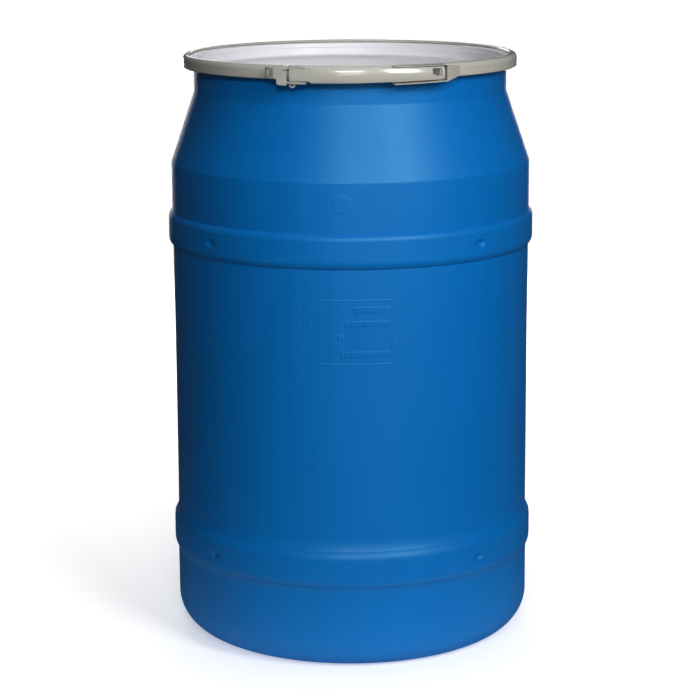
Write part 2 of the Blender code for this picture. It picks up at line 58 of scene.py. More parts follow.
GASKET_LOW, GASKET_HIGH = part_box("lid_gasket")
JOINTS = {joint["name"]: joint for joint in frame["joints"]}
FULCRUM = Vector(JOINTS["lever_swing"]["pos_m"])
TOGGLE = Vector(JOINTS["claw_swing"]["pos_m"])
LATCH_Z = FULCRUM.z

# Drum body
HOOP_RADIUS = BODY_HIGH.x
WALL_RADII = (0.2866, 0.2854, 0.2860)
WALL_SINK = 0.0005
NECK_RADIUS = 0.2481
BEAD_RADIUS = 0.2600
SHELL = 0.0035
CORNER_RADIUS = 0.0565
FOOT_RADIUS = 0.170
BASE_RISE = 0.006
LOWER_HOOP = (0.1370, 0.1502, 0.1814, 0.1971)
UPPER_HOOP = (0.6344, 0.6470, 0.6780, 0.6886)
SHOULDER_Z = 0.7653
NECK_Z = 0.8765
BEAD_LOW_Z = BODY_HIGH.z - 0.0067
DIMPLE_HALF = (0.0120, 0.0076)
DIMPLE_DEPTH = 0.0036
DIMPLE_AZIMUTH = 42.6
WAVE_HEIGHT = 0.00010
MARK_HEIGHT = 0.00045
PANEL_AZIMUTHS = (-9.6, 12.5)
PANEL_HEIGHTS = (0.4900, 0.5880)
PANEL_BLOCKS = ((0.8, 11.8, 0.5738), (-2.1, 11.8, 0.5525), (-4.0, -2.1, 0.5310), (-3.1, 11.8, 0.5055))
BLOCK_PITCH = 0.0046
BLOCK_HALF = (0.0016, 0.0040)
DATE_DISCS = ((-14.4, 0.5744), (-14.4, 0.5530))
ROUNDEL = (-2.6, 0.7330)

# Lid
LID_FLOOR_Z = 0.9120
LID_STEP_Z = 0.9245
LID_RADIUS = LID_HIGH.x
LID_TOP_Z = LID_HIGH.z
GROOVE_Z = 0.9275
SKIRT_Z = 0.9195

# Ring and latch
BAND_RADIUS = BAND_HIGH.x
BAND_SHEET = 0.0015
ROLL_RADIUS = 0.0080
ROLL_Z = BAND_HIGH.z - ROLL_RADIUS
SPLIT = (-23.2, -20.4)
GAP = 0.0003
PLATE_RADII = (BAND_RADIUS + GAP, BAND_RADIUS + 0.0019)
RIVET_Z = LATCH_Z - 0.0007
SHEET = 0.0015
ROOT_HALF = 0.0090
ARM_INNER = ROOT_HALF + GAP
ARM_OUTER = ARM_INNER + SHEET
EAR_INNER = ARM_OUTER + GAP
EAR_OUTER = EAR_INNER + 0.0017
LEVER_RADIUS = 0.2835
LEVER_CROWN = 0.0026
FLANGE_RADIUS = 0.2725
LEVER_ROOT = -18.4
LEVER_STEP = (-12.4, -11.8)
LEVER_TIP = 29.9
LEVER_HEIGHTS = (0.9118, 0.9357)
GUARDED_TOP_Z = 0.9349
WINDOW = (25.7, 28.9)
WINDOW_HEIGHTS = (0.9203, 0.9314)
ANCHOR_PLATE = (-27.4, -23.4)
FULCRUM_PLATE = (-19.3, -15.6)
RIVETS = {"anchor": (-25.25, -23.95), "fulcrum": (-18.5, -16.5), "guard": (16.5, 23.5)}
RIVET_RADIUS = 0.0016
RIVET_HEAD = 0.0029
GUARD = (13.4, 37.8)
GUARD_FOLD = 30.6
GUARD_RADIUS = 0.2840
SEAL_EYE = (27.4, 27.75)
SEAL_EYE_TIP = 0.2895
SEAL_HOLE_RADIUS = 0.0014
TONGUE = (-23.7, -19.4)
TONGUE_BOTTOM_Z = 0.9087
TAB = (-24.0, -22.65)
TAB_TOP_Z = 0.9178
TONGUE_TOP_Z = 0.9372
NOTCH = (-20.7, -19.0)
NOTCH_HEIGHTS = (0.9299, 0.9329)
CLAW_WINDOW = (-26.4, -24.0)
PIN_RADIUS = 0.0030
TOGGLE_RADIUS = 0.0025
EYE_RADIUS = 0.0054
EYE_HALF = 0.0013
EYE_BORE = 0.0014

# Camera and stage
CAMERA_AT = (0.0, -3.6292, 1.2289)
CAMERA_PITCH = 12.083
CAMERA_ROLL = 0.273
LENS = 116.99
CAMERA_SHIFT = -0.0018
NEAR_FLOOR = 0.5


# Geometry helpers

def polar(azimuth, radius, z=0.0):
    """The point at an azimuth in degrees and a radius from the drum's axis."""
    angle = math.radians(azimuth)
    return Vector((radius * math.sin(angle), -radius * math.cos(angle), z))


def arc(centre, radius, start_deg, end_deg, steps):
    """Points along a circular arc in a plane, both ends included."""
    angles = [math.radians(start_deg + (end_deg - start_deg) * i / steps) for i in range(steps + 1)]
    return [(centre[0] + radius * math.cos(a), centre[1] + radius * math.sin(a)) for a in angles]


def rounded(corners, closed=True, steps=4):
    """A polyline of (x, y, fillet) corners with each corner turned into an arc of its fillet's radius."""
    points = []
    for i, (x, y, fillet) in enumerate(corners):
        here = Vector((x, y))
        inner_corner = closed or 0 < i < len(corners) - 1
        if not fillet or not inner_corner:
            points.append((x, y))
            continue
        back = Vector(corners[i - 1][:2]) - here
        ahead = Vector(corners[(i + 1) % len(corners)][:2]) - here
        half = back.angle(ahead) / 2
        reach = min(fillet / math.tan(half), 0.48 * back.length, 0.48 * ahead.length)
        radius = reach * math.tan(half)
        middle = (back.normalized() + ahead.normalized()).normalized() * (radius / math.sin(half))
        first = back.normalized() * reach - middle
        last = ahead.normalized() * reach - middle
        start = math.atan2(first.y, first.x)
        turn = (math.atan2(last.y, last.x) - start + math.pi) % math.tau - math.pi
        centre = here + middle
        points += arc(centre, radius, math.degrees(start), math.degrees(start + turn), steps)
    return points


def ramp(value, start, end, low, high):
    """A straight run from low to high while value goes from start to end."""
    share = min(1.0, max(0.0, (value - start) / (end - start)))
    return low + (high - low) * share


def smooth(value, start, end):
    """0 before start and 1 after end, with a soft run between; start may be above end."""
    share = min(1.0, max(0.0, (value - start) / (end - start)))
    return share * share * (3 - 2 * share)


def spread(low, high, step):
    """Values from low to high, both included, at most a step apart."""
    count = max(1, math.ceil((high - low) / step - 1e-6))
    return [low + (high - low) * i / count for i in range(count + 1)]


def add_object(name, mesh_edit, finish, sharp_deg=35):
    """Turn a bmesh into a smooth-shaded object whose edges stay sharp above an angle."""
    bmesh.ops.remove_doubles(mesh_edit, verts=mesh_edit.verts, dist=1e-6)
    bmesh.ops.recalc_face_normals(mesh_edit, faces=mesh_edit.faces)
    mesh = bpy.data.meshes.new(name)
    mesh_edit.to_mesh(mesh)
    mesh_edit.free()
    mesh.shade_smooth()
    mesh.set_sharp_from_angle(angle=math.radians(sharp_deg))
    made = bpy.data.objects.new(name, mesh)
    made.data.materials.append(finish)
    bpy.context.scene.collection.objects.link(made)
    return made


def grid(name, rows, finish, wrap=True, closed=True, sharp_deg=35):
    """Quads over rows of points. wrap joins each row's ends, closed joins the last row to the first."""
    edit = bmesh.new()
    lines = [[edit.verts.new(point) for point in row] for row in rows]
    pairs = list(zip(lines, lines[1:]))
    if closed:
        pairs.append((lines[-1], lines[0]))
    width = len(lines[0])
    for near, far in pairs:
        for i in range(width if wrap else width - 1):
            j = (i + 1) % width
            edit.faces.new((near[i], near[j], far[j], far[i]))
    if not closed:
        for line in (lines[0], lines[-1]):
            if (line[0].co - line[1].co).length > 1e-6:
                edit.faces.new(line)
    return add_object(name, edit, finish, sharp_deg)


def lathe(name, profile, finish, columns=240, closed=True, sharp_deg=35):
    """Spin a profile of (radius, z) points round the drum's axis."""
    stops = [360 * i / columns for i in range(columns)]
    return grid(name, [[polar(stop, *point) for stop in stops] for point in profile], finish, True, closed, sharp_deg)


def lofted(name, stops, section, finish):
    """Join a closed section of (radius, z) points, a function of azimuth, over the given azimuths."""
    rows = [[polar(stop, *point) for point in section(stop)] for stop in stops]
    return grid(name, rows, finish, True, False)


def box_section(radii, heights):
    """A section that is the same rectangle at every azimuth."""
    corners = [(radii[0], heights[0]), (radii[1], heights[0]), (radii[1], heights[1]), (radii[0], heights[1])]
    return lambda azimuth: corners


def plan_plate(name, outline, low, high, finish):
    """A flat plate from an outline of (x, y) points, between two heights."""
    edit = bmesh.new()
    face = edit.faces.new([edit.verts.new((x, y, low)) for x, y in outline])
    lifted = bmesh.ops.extrude_face_region(edit, geom=[face])["geom"]
    top = [item for item in lifted if isinstance(item, bmesh.types.BMVert)]
    bmesh.ops.translate(edit, verts=top, vec=(0, 0, high - low))
    return add_object(name, edit, finish)


def polar_plate(name, outline, low, high, finish, fillet=0.0):
    """A flat plate from an outline of (azimuth, radius) points, with its corners rounded in plan."""
    corners = [(*polar(*point).xy, fillet) for point in outline]
    return plan_plate(name, rounded(corners), low, high, finish)


def facing_plate(name, outline, azimuth, radii, finish):
    """A plate that faces away from the drum's axis, from (sideways, z) points, between two radii."""
    along = polar(azimuth + 90, 1.0)
    rows = [[along * x + polar(azimuth, radius, z) for x, z in outline] for radius in radii]
    return grid(name, rows, finish, True, False)


def drill(name, at, axis, radius, length, finish, steps=24):
    """A round cutter round a line through a point."""
    edit = bmesh.new()
    turn = Vector(axis).to_track_quat("Z", "Y").to_matrix().to_4x4()
    bmesh.ops.create_cone(edit, cap_ends=True, segments=steps, radius1=radius, radius2=radius,
                          depth=length, matrix=Matrix.Translation(at) @ turn)
    return add_object(name, edit, finish)


def turned(name, profile, at, axis, finish, steps=32):
    """Spin a profile of (radius, distance) points round a line through a point."""
    turn = Vector(axis).to_track_quat("Z", "Y").to_matrix().to_4x4()
    place = Matrix.Translation(at) @ turn
    rows = []
    for radius, distance in profile:
        ring = [Vector((radius * math.cos(a), radius * math.sin(a), distance))
                for a in (math.tau * i / steps for i in range(steps))]
        rows.append([place @ point for point in ring])
    return grid(name, rows, finish, True, False)


def combine(target, tools, operation):
    """Join the tools to the target, or cut them from it, and remove them."""
    for tool in tools:
        modifier = target.modifiers.new(operation, "BOOLEAN")
        modifier.operation = operation
        modifier.solver = "EXACT"
        modifier.object = tool
    settle(target)
    for tool in tools:
        bpy.data.objects.remove(tool, do_unlink=True)
    return target


def settle(piece):
    """Apply a piece's modifiers to its mesh."""
    bpy.context.view_layer.update()
    ready = piece.evaluated_get(bpy.context.evaluated_depsgraph_get())
    mesh = bpy.data.meshes.new_from_object(ready)
    piece.modifiers.clear()
    piece.data = mesh
    return piece


def soften(piece, width=0.0003, sharp_deg=32):
    """Round a sheet part's cut edges a little and keep its flat faces flat."""
    bevel = piece.modifiers.new("edges", "BEVEL")
    bevel.width = width
    bevel.segments = 2
    bevel.limit_method = "ANGLE"
    bevel.angle_limit = math.radians(sharp_deg)
    piece.modifiers.new("normals", "WEIGHTED_NORMAL")
    settle(piece)
    return piece


def place(piece, body, slot, *nodes):
    """Ride a piece on its body in place of its CAD nodes."""
    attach(piece, body)
    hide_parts(*nodes)


# Materials

def shader_of(name, color, roughness, metallic=0.0, ior=1.5):
    """A new Principled material and a maker of nodes for it."""
    made = bpy.data.materials.new(name)
    made.use_nodes = True
    tree = made.node_tree
    shader = tree.nodes["Principled BSDF"]
    shader.inputs["Base Color"].default_value = (*color, 1.0)
    shader.inputs["Roughness"].default_value = roughness
    shader.inputs["Metallic"].default_value = metallic
    shader.inputs["IOR"].default_value = ior
    return made, tree, shader


def add_node(tree, kind, inputs=None, **settings):
    """A shader node with its settings and its input values, or links where a value is a socket."""
    made = tree.nodes.new("ShaderNode" + kind)
    for key, value in settings.items():
        setattr(made, key, value)
    for key, value in (inputs or {}).items():
        if isinstance(value, bpy.types.NodeSocket):
            tree.links.new(value, made.inputs[key])
        else:
            made.inputs[key].default_value = value
    return made


def stretched(tree, scale):
    """Object coordinates in metres, times a scale for each axis."""
    coordinates = add_node(tree, "TexCoord").outputs["Object"]
    return add_node(tree, "Mapping", {"Vector": coordinates, "Scale": scale}).outputs["Vector"]


def noise(tree, scale, detail=3.0, stretch=(1, 1, 1), rough=0.5):
    """Noise from 0 to 1, with about scale waves in a metre."""
    vector = stretched(tree, stretch)
    made = add_node(tree, "TexNoise", {"Vector": vector, "Scale": scale, "Detail": detail, "Roughness": rough})
    return made.outputs["Fac"]


def remap(tree, value, low, high, to_low=0.0, to_high=1.0):
    """A value taken from one range to another, and held inside it."""
    inputs = {"Value": value, "From Min": low, "From Max": high, "To Min": to_low, "To Max": to_high}
    return add_node(tree, "MapRange", inputs).outputs["Result"]


def math_node(tree, operation, first, second):
    """A Math node's result."""
    made = add_node(tree, "Math", {0: first, 1: second}, operation=operation)
    return made.outputs["Value"]


def mix(tree, share, first, second):
    """A colour between two colours."""
    made = add_node(tree, "Mix", data_type="RGBA")
    colour_inputs = [socket for socket in made.inputs if socket.type == "RGBA"]
    for socket, value in zip([made.inputs[0], *colour_inputs], (share, first, second)):
        if isinstance(value, bpy.types.NodeSocket):
            tree.links.new(value, socket)
        else:
            socket.default_value = value if isinstance(value, float) else (*value, 1.0)
    return [socket for socket in made.outputs if socket.type == "RGBA"][0]


def bump(tree, shader, layers):
    """Chain of bumps of (height, strength, distance) onto the shader's normal."""
    normal = None
    for height, strength, distance in layers:
        inputs = {"Height": height, "Strength": strength, "Distance": distance}
        if normal:
            inputs["Normal"] = normal
        normal = add_node(tree, "Bump", inputs).outputs["Normal"]
    tree.links.new(normal, shader.inputs["Normal"])


def from_axis(tree):
    """Distance from the drum's axis in metres."""
    vector = stretched(tree, (1, 1, 0))
    return add_node(tree, "VectorMath", {0: vector}, operation="LENGTH").outputs["Value"]


def height_of(tree):
    """Height above the floor in metres."""
    coordinates = add_node(tree, "TexCoord").outputs["Object"]
    return add_node(tree, "SeparateXYZ", {"Vector": coordinates}).outputs["Z"]


def blue_plastic():
    """Blow-moulded polyethylene: drawn streaks, a fine grain, and rub marks on the hoops."""
    made, tree, shader = shader_of("blue_polyethylene", (0.0, 0.130, 0.440), 0.4, ior=1.5)
    shader.inputs["Specular Tint"].default_value = (0.38, 0.9, 1.0, 1.0)
    streak = noise(tree, 1.0, 5.0, (150, 150, 2.5))
    cloud = noise(tree, 5.0, 3.0)
    grain = noise(tree, 520.0, 3.0)
    scratch = noise(tree, 1.0, 6.0, (14, 14, 1500), 0.6)
    dust = noise(tree, 160.0, 8.0, rough=0.7)
    tone = mix(tree, remap(tree, streak, 0.3, 0.7), (0.0, 0.130, 0.442), (0.0, 0.140, 0.468))
    tone = mix(tree, remap(tree, cloud, 0.35, 0.75, 0.0, 0.35), tone, (0.0, 0.150, 0.500))
    on_hoop = remap(tree, from_axis(tree), HOOP_RADIUS - 0.0018, HOOP_RADIUS - 0.0002)
    rubbed = math_node(tree, "MULTIPLY", remap(tree, scratch, 0.62, 0.70), on_hoop)
    tone = mix(tree, math_node(tree, "MULTIPLY", rubbed, 0.22), tone, (0.12, 0.30, 0.55))
    low_down = remap(tree, height_of(tree), 0.10, 0.0)
    scuffed = math_node(tree, "MULTIPLY", remap(tree, dust, 0.56, 0.72), low_down)
    tone = mix(tree, math_node(tree, "MULTIPLY", scuffed, 0.30), tone, (0.16, 0.27, 0.42))
    tree.links.new(tone, shader.inputs["Base Color"])
    rough = remap(tree, streak, 0.25, 0.75, 0.42, 0.49)
    rough = math_node(tree, "ADD", rough, remap(tree, grain, 0.2, 0.8, -0.03, 0.03))
    rough = math_node(tree, "ADD", rough, math_node(tree, "MULTIPLY", rubbed, 0.12))
    tree.links.new(rough, shader.inputs["Roughness"])
    swell = noise(tree, 22.0, 2.0, (1, 1, 0.5))
    bump(tree, shader, [(swell, 0.25, 0.0010), (streak, 0.05, 0.0003), (grain, 0.45, 0.00030)])
    return made


def white_plastic():
    """Injection-moulded lid: satin, with soft flow clouds and fine handling marks."""
    made, tree, shader = shader_of("white_polyethylene", (0.70, 0.71, 0.74), 0.3, ior=1.5)
    cloud = noise(tree, 9.0, 4.0)
    grain = noise(tree, 1200.0, 2.0)
    mark = noise(tree, 70.0, 9.0, rough=0.75)
    tone = mix(tree, remap(tree, cloud, 0.3, 0.7), (0.66, 0.67, 0.705), (0.72, 0.73, 0.765))
    tone = mix(tree, remap(tree, mark, 0.60, 0.75, 0.0, 0.25), tone, (0.60, 0.60, 0.61))
    tree.links.new(tone, shader.inputs["Base Color"])
    rough = math_node(tree, "ADD", remap(tree, cloud, 0.3, 0.7, 0.34, 0.40), remap(tree, mark, 0.5, 0.75, 0.0, 0.06))
    tree.links.new(rough, shader.inputs["Roughness"])
    bump(tree, shader, [(cloud, 0.04, 0.0005), (grain, 0.10, 0.00006)])
    return made


def rubber():
    """Foamed rubber with open pores."""
    made, tree, shader = shader_of("grey_foam_rubber", (0.055, 0.055, 0.058), 0.85, ior=1.45)
    pores = add_node(tree, "TexVoronoi", {"Vector": stretched(tree, (1, 1, 1)), "Scale": 1400.0}).outputs["Distance"]
    cloud = noise(tree, 60.0, 4.0)
    tone = mix(tree, remap(tree, cloud, 0.3, 0.7), (0.045, 0.045, 0.048), (0.075, 0.075, 0.078))
    tree.links.new(tone, shader.inputs["Base Color"])
    tree.links.new(remap(tree, cloud, 0.3, 0.7, 0.78, 0.92), shader.inputs["Roughness"])
    bump(tree, shader, [(pores, 0.6, 0.0003)])
    return made


def ring_paint():
    """Warm grey gloss enamel on rolled steel, with orange peel and a few chips along its lower edge."""
    made, tree, shader = shader_of("warm_grey_enamel", (0.46, 0.45, 0.40), 0.26, ior=1.5)
    cloud = noise(tree, 14.0, 4.0)
    peel = noise(tree, 420.0, 2.0)
    speck = noise(tree, 520.0, 4.0, rough=0.65)
    smear = noise(tree, 1.0, 4.0, (30, 30, 260))
    tone = mix(tree, remap(tree, cloud, 0.3, 0.7), (0.435, 0.425, 0.380), (0.480, 0.470, 0.425))
    tone = mix(tree, remap(tree, smear, 0.58, 0.72, 0.0, 0.20), tone, (0.33, 0.31, 0.27))
    near_edge = remap(tree, height_of(tree), BAND_LOW.z + 0.0025, BAND_LOW.z + 0.0004)
    on_band = remap(tree, from_axis(tree), BAND_RADIUS + 0.0010, BAND_RADIUS + 0.0004)
    flaked = math_node(tree, "MULTIPLY", remap(tree, speck, 0.64, 0.67), near_edge)
    chipped = math_node(tree, "MULTIPLY", flaked, on_band)
    tone = mix(tree, chipped, tone, (0.20, 0.17, 0.14))
    tree.links.new(tone, shader.inputs["Base Color"])
    smooth_paint = remap(tree, cloud, 0.3, 0.7, 0.17, 0.24)
    rough = math_node(tree, "ADD", smooth_paint, math_node(tree, "MULTIPLY", chipped, 0.4))
    tree.links.new(rough, shader.inputs["Roughness"])
    shader.inputs["Coat Weight"].default_value = 0.5
    shader.inputs["Coat Roughness"].default_value = 0.08
    bump(tree, shader, [(cloud, 0.10, 0.0006), (peel, 0.16, 0.00010), (chipped, -0.5, 0.00012)])
    return made


def zinc():
    """Bright zinc plate on rivets, brushed by handling."""
    made, tree, shader = shader_of("zinc_plate", (0.62, 0.62, 0.61), 0.35, 1.0)
    cloud = noise(tree, 180.0, 4.0)
    scratch = noise(tree, 1.0, 4.0, (500, 500, 4000))
    tone = mix(tree, remap(tree, cloud, 0.3, 0.7), (0.54, 0.54, 0.53), (0.70, 0.70, 0.68))
    tree.links.new(tone, shader.inputs["Base Color"])
    tree.links.new(remap(tree, cloud, 0.3, 0.7, 0.28, 0.46), shader.inputs["Roughness"])
    bump(tree, shader, [(scratch, 0.2, 0.00005)])
    return made


# Drum body

def flank(base, edge_z, foot_z, steps=9):
    """Points of a hoop's rounded flank, from its foot on the wall to the edge of the flat band."""
    rise = abs(edge_z - foot_z)
    drop = HOOP_RADIUS - base
    radius = (rise ** 2 + drop ** 2) / (2 * drop)
    sweep = math.degrees(math.asin(rise / radius))
    sweep = -sweep if foot_z < edge_z else sweep
    return arc((HOOP_RADIUS - radius, edge_z), radius, sweep, 0, steps)


def outer_hoop(limits, below, above):
    """A rolling hoop going up: rounded flank, flat band with rows for its dimples, rounded flank."""
    foot, low, high, head = limits
    band = [(HOOP_RADIUS, z) for z in spread(low, high, 0.0011)[1:-1]]
    return flank(below, low, foot) + band + flank(above, high, head)[::-1]


def wall(radii, heights, step, sink=0.0):
    """A stretch of plain wall, drawn in a little at its middle as blow-moulded walls are."""
    low, high = heights
    rows = []
    for z in spread(low, high, step)[1:-1]:
        share = (z - low) / (high - low)
        rows.append((ramp(z, low, high, *radii) - sink * math.sin(math.pi * share), z))
    return rows


def outer_profile():
    """The outer skin, from the middle of the base to the top of the bead."""
    low_wall, middle_wall, high_wall = WALL_RADII
    corner = (low_wall - CORNER_RADIUS, CORNER_RADIUS)
    base = [(0.0002, BASE_RISE), *[(r, BASE_RISE) for r in spread(0.01, FOOT_RADIUS - 0.016, 0.012)]]
    rise = rounded([(FOOT_RADIUS - 0.014, BASE_RISE, 0), (FOOT_RADIUS - 0.010, BASE_RISE, 0.003),
                    (FOOT_RADIUS, 0, 0.003), (FOOT_RADIUS + 0.006, 0, 0)], False)
    points = base + rise + arc(corner, CORNER_RADIUS, -90, 0, 18)
    points += wall((low_wall, low_wall), (CORNER_RADIUS, LOWER_HOOP[0]), 0.01)
    points += outer_hoop(LOWER_HOOP, low_wall, middle_wall)
    seams = (LOWER_HOOP[3], PANEL_HEIGHTS[0] - 0.004)
    points += wall((middle_wall, middle_wall - WALL_SINK), seams, 0.02)
    points += wall((middle_wall - WALL_SINK, middle_wall), (PANEL_HEIGHTS[0] - 0.005, UPPER_HOOP[0]), 0.0008)
    points += outer_hoop(UPPER_HOOP, middle_wall, high_wall)
    points += wall((high_wall, high_wall), (UPPER_HOOP[3], SHOULDER_Z - 0.006), 0.0008)
    low, high = BEAD_LOW_Z, BODY_HIGH.z
    points += rounded([(high_wall, SHOULDER_Z - 0.006, 0), (high_wall, SHOULDER_Z, 0.010),
                       (0.2670, 0.8206, 0), (NECK_RADIUS, NECK_Z, 0.012), (NECK_RADIUS, 0.895, 0),
                       (NECK_RADIUS, low, 0.0006), (BEAD_RADIUS, low, 0.0010), (BEAD_RADIUS, high, 0.0012),
                       (NECK_RADIUS - SHELL, high, 0.0010), (NECK_RADIUS - SHELL, 0.905, 0)], False, 6)
    return points


def inner_profile():
    """The inner skin, from the mouth down to the middle of the base."""
    low_wall, middle_wall, high_wall = (radius - SHELL for radius in WALL_RADII)
    crest = HOOP_RADIUS - SHELL
    corners = [(NECK_RADIUS - SHELL, 0.900, 0), (NECK_RADIUS - SHELL, NECK_Z, 0.010), (high_wall, SHOULDER_Z, 0.010)]
    for limits, above, below in ((UPPER_HOOP, high_wall, middle_wall), (LOWER_HOOP, middle_wall, low_wall)):
        foot, low, high, head = limits
        corners += [(above, head, 0.004), (crest, high - 0.001, 0.006)]
        corners += [(crest, low + 0.001, 0.006), (below, foot, 0.004)]
    corners.append((low_wall, CORNER_RADIUS + 0.004, 0))
    points = rounded(corners, False)
    points += arc((WALL_RADII[0] - CORNER_RADIUS, CORNER_RADIUS), CORNER_RADIUS - SHELL, 0, -90, 10)
    return points + [(FOOT_RADIUS, SHELL), (FOOT_RADIUS - 0.012, BASE_RISE + SHELL), (0.0002, BASE_RISE + SHELL)]


def ridge(distance, half_width):
    """Height of a soft ridge, from 0 to 1, at a distance from its middle line."""
    return smooth(abs(distance), half_width, 0.0)


def moulded_relief(azimuth, radius, z):
    """How far the outer skin stands out of its turned shape at a place, in metres."""
    height = 0.0
    azimuth = (azimuth + 180) % 360 - 180
    across = math.radians(((azimuth - DIMPLE_AZIMUTH + 45) % 90) - 45) * radius
    for limits in (LOWER_HOOP, UPPER_HOOP):
        up = z - (limits[1] + limits[2]) / 2
        distance = math.hypot(across / DIMPLE_HALF[0], up / DIMPLE_HALF[1])
        height -= DIMPLE_DEPTH * smooth(distance, 1.0, 0.30)
    if z > 0.05:
        aside = math.radians(abs(azimuth) - 90) * radius
        height += 0.00030 * ridge(aside, 0.0012) * smooth(z, 0.05, 0.08)
        height += wall_waviness(azimuth, z)
    if 0.45 < z < 0.62:
        height += MARK_HEIGHT * ridge(frame_distance(azimuth, radius, z), 0.0012)
        height += MARK_HEIGHT * block_share(azimuth, radius, z)
        for disc_azimuth, disc_z in DATE_DISCS:
            height += disc_relief(azimuth - disc_azimuth, radius, z - disc_z, 0.0088)
    if 0.70 < z < 0.76:
        distance = place_distance(azimuth - ROUNDEL[0], radius, z - ROUNDEL[1])
        height += 0.0003 * smooth(distance, 0.0150, 0.0133)
    return height


def wall_waviness(azimuth, z):
    """The slow unevenness of a blown wall."""
    angle = math.radians(azimuth)
    fade = smooth(z, 0.05, 0.12) * smooth(z, 0.86, 0.80)
    wave = math.sin(3 * angle + 9 * z) + 0.6 * math.sin(7 * angle - 14 * z + 1.3)
    return WAVE_HEIGHT * (wave + 0.4 * math.sin(13 * angle + 23 * z)) * fade


def place_distance(turn, radius, rise):
    """Distance along the skin for a turn in degrees and a rise in metres."""
    return math.hypot(math.radians(turn) * radius, rise)


def frame_distance(azimuth, radius, z):
    """Distance from the panel's frame line, a rectangle with rounded corners."""
    middle = sum(PANEL_AZIMUTHS) / 2
    half_width = math.radians(PANEL_AZIMUTHS[1] - middle) * radius
    half_height = (PANEL_HEIGHTS[1] - PANEL_HEIGHTS[0]) / 2
    corner = 0.005
    beyond_x = abs(math.radians(azimuth - middle) * radius) - half_width + corner
    beyond_z = abs(z - sum(PANEL_HEIGHTS) / 2) - half_height + corner
    outside = math.hypot(max(beyond_x, 0.0), max(beyond_z, 0.0))
    return outside + min(max(beyond_x, beyond_z), 0.0) - corner


def block_share(azimuth, radius, z):
    """1 on the panel's rows of small blank blocks, where a maker's code would be, and 0 off them."""
    for start, stop, middle in PANEL_BLOCKS:
        if start < azimuth < stop and abs(z - middle) < 0.006:
            along = math.radians(azimuth - start) * radius
            across = abs(along % BLOCK_PITCH - BLOCK_PITCH / 2)
            beside = smooth(across, BLOCK_HALF[0] + 0.0004, BLOCK_HALF[0] - 0.0004)
            return beside * smooth(abs(z - middle), BLOCK_HALF[1] + 0.0006, BLOCK_HALF[1] - 0.0002)
    return 0.0


def disc_relief(turn, radius, rise, disc_radius):
    """A date insert left blank: a rim, twelve studs inside it and a middle stud."""
    distance = place_distance(turn, radius, rise)
    if distance > disc_radius + 0.002:
        return 0.0
    height = 0.0004 * ridge(distance - disc_radius, 0.0009)
    bearing = math.atan2(rise, math.radians(turn) * radius)
    step = math.tau / 12
    nearest = round(bearing / step) * step
    stud_radius = disc_radius * 0.66
    across = math.hypot(distance * math.cos(bearing - nearest) - stud_radius, distance * math.sin(bearing - nearest))
    return height + 0.0003 * smooth(across, 0.0012, 0.0002) + 0.0004 * smooth(distance, 0.0022, 0.0012)


def base_relief(azimuth, radius):
    """The pinch weld across the raised middle of the base, along the parting plane."""
    side = radius * math.cos(math.radians(azimuth))
    return -0.0016 * ridge(side, 0.0022) * smooth(radius, FOOT_RADIUS - 0.015, FOOT_RADIUS - 0.03)


def body_columns():
    """Azimuths of the skin's columns, finer across moulded details."""
    columns = {round(1.5 * i, 3) for i in range(240)}
    for quarter in range(4):
        middle = DIMPLE_AZIMUTH + 90 * quarter
        columns |= {round((middle + 0.25 * i) % 360, 3) for i in range(-12, 13)}
    for middle in (90, 270):
        columns |= {round(middle + 0.12 * i, 3) for i in range(-4, 5)}
    for edge in PANEL_AZIMUTHS:
        columns |= {round((edge + 0.09 * i) % 360, 3) for i in range(-6, 7)}
    columns |= {round(turn % 360, 3) for turn in spread(-4.1, 11.9, 0.13)}
    for middle, half in ((DATE_DISCS[0][0], 2.2), (ROUNDEL[0], 3.4)):
        columns |= {round((middle + turn) % 360, 3) for turn in spread(-half, half, 0.15)}
    return sorted(columns)


def drum_shell(finish):
    """Blow-moulded body: hoops, shoulder, neck and bead, with its moulded details, open at the mouth."""
    columns = body_columns()
    rows = []
    for radius, z in outer_profile():
        row = []
        for azimuth in columns:
            if z <= BASE_RISE and radius < FOOT_RADIUS:
                row.append(polar(azimuth, radius, z + base_relief(azimuth, radius)))
            else:
                row.append(polar(azimuth, radius + moulded_relief(azimuth, radius, z), z))
        rows.append(row)
    rows += [[polar(azimuth, *point) for azimuth in columns] for point in inner_profile()]
    return grid("drum_shell", rows, finish, True, False, 50)


# Lid and gasket

def lid_moulding(finish):
    """Dished lid: flat floor with a small gate mark, stepped wall, rim, and the skirt over the bead."""
    plug = NECK_RADIUS - SHELL - 0.0010
    under = LID_FLOOR_Z - SHELL
    gate = LID_FLOOR_Z - 0.0006
    corners = [(0.0001, gate, 0), (0.0045, gate, 0.0005), (0.0052, LID_FLOOR_Z, 0.0005), (0.060, LID_FLOOR_Z, 0),
               (0.120, LID_FLOOR_Z, 0), (0.180, LID_FLOOR_Z, 0), (0.2262, LID_FLOOR_Z, 0),
               (0.2366, LID_FLOOR_Z, 0.0045), (0.2382, LID_STEP_Z, 0.0008), (0.2404, LID_STEP_Z + 0.0004, 0.0012),
               (0.2412, LID_TOP_Z, 0.0022), (LID_RADIUS, LID_TOP_Z, 0.0022), (LID_RADIUS, SKIRT_Z, 0.0005),
               (BEAD_RADIUS + 0.0006, SKIRT_Z, 0.0005), (BEAD_RADIUS + 0.0006, GROOVE_Z, 0.0004),
               (plug, GROOVE_Z, 0.0004), (plug, 0.9215, 0.0015), (plug - 0.0024, SKIRT_Z, 0.0015),
               (plug - 0.0030, 0.9105, 0.0010), (plug - 0.0060, under, 0.0030), (0.180, under, 0), (0.0001, under, 0)]
    return lathe("lid_moulding", rounded(corners, False, 5), finish, 240, False, 50)


